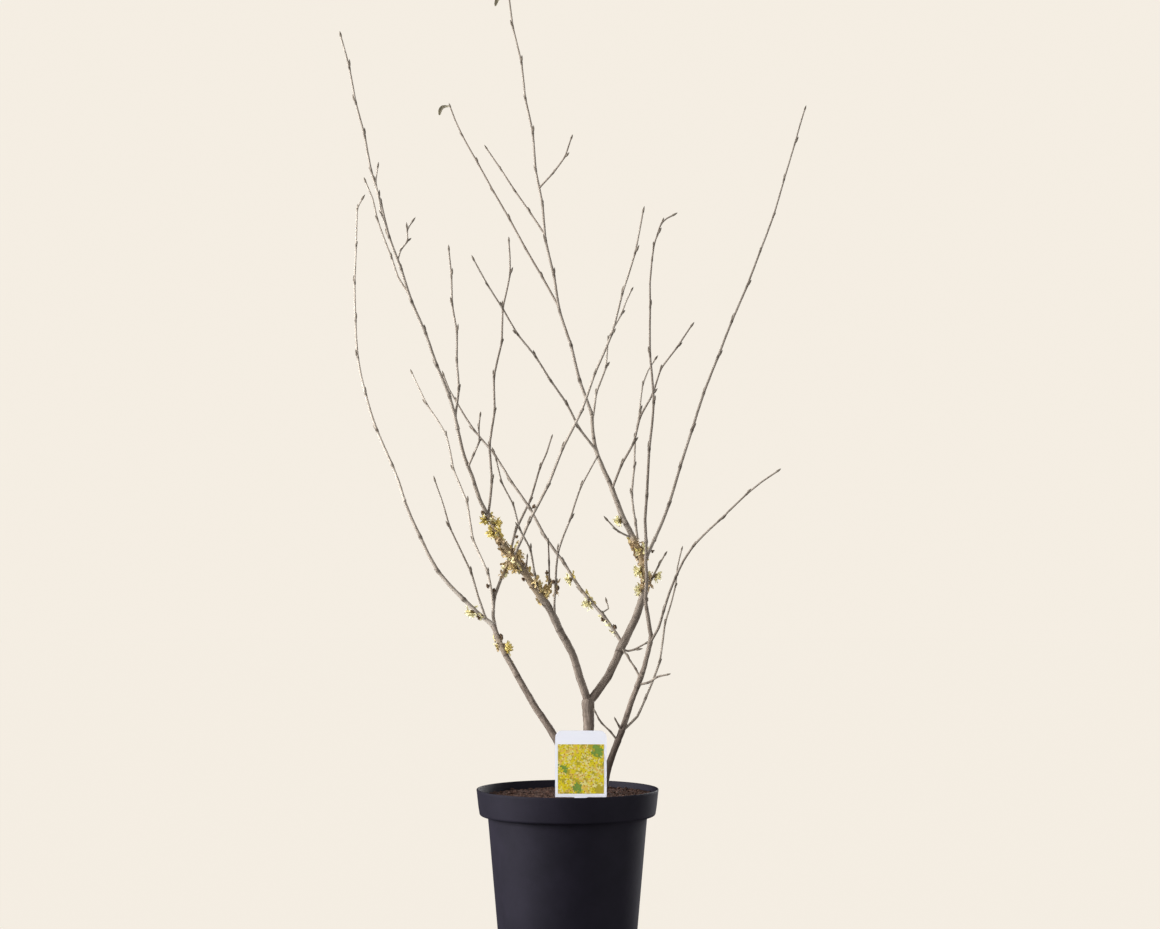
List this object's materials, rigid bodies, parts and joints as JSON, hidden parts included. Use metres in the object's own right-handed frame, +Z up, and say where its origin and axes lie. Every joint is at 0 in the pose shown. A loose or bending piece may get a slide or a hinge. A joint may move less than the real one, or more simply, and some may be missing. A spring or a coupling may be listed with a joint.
{
  "type": "potted witch hazel shrub",
  "caption": "Bare winter witch hazel grown as a small clump of zigzag stems in a round nursery pot, with spidery yellow blossom low in its open crown.",
  "frame": {"origin": "centre of the pot's flat underside, on the ground plane", "axes": "+Z up the plant, -Y towards the side the label faces, +X to the right seen from that side"},
  "size_m": [0.586, 0.4688, 1.2022],
  "materials": {
    "pot": "dark charcoal moulded polypropylene, satin",
    "compost": "coarse moist bark and peat",
    "label": "white printed card",
    "bark": "grey-brown bark with pale pores",
    "twigs": "thin young bark"
  },
  "bodies": {
    "root": {"pot": "pot", "compost": "compost", "plant_label": "label", "trunk": "bark", "left_stem": "bark", "right_stem": "bark", "left_bough": "bark", "right_bough": "bark", "left_leader": "bark", "tall_leader": "bark", "right_leader": "bark", "twigs_left_top": "twigs", "twigs_left_fork": "twigs", "twigs_left_inner": "twigs", "twigs_front": "twigs", "twigs_low_left": "twigs", "twigs_low_centre": "twigs", "twigs_left_whip": "twigs", "twigs_left_back": "twigs", "twigs_tall_top": "twigs", "twigs_middle_left": "twigs", "twigs_middle_back": "twigs", "twigs_right_middle": "twigs", "twigs_right_back": "twigs", "twigs_crossing": "twigs", "twigs_right_top": "twigs", "twigs_right_whip": "twigs", "twigs_right_reach": "twigs", "twigs_right_low": "twigs"}
  },
  "joints": []
}
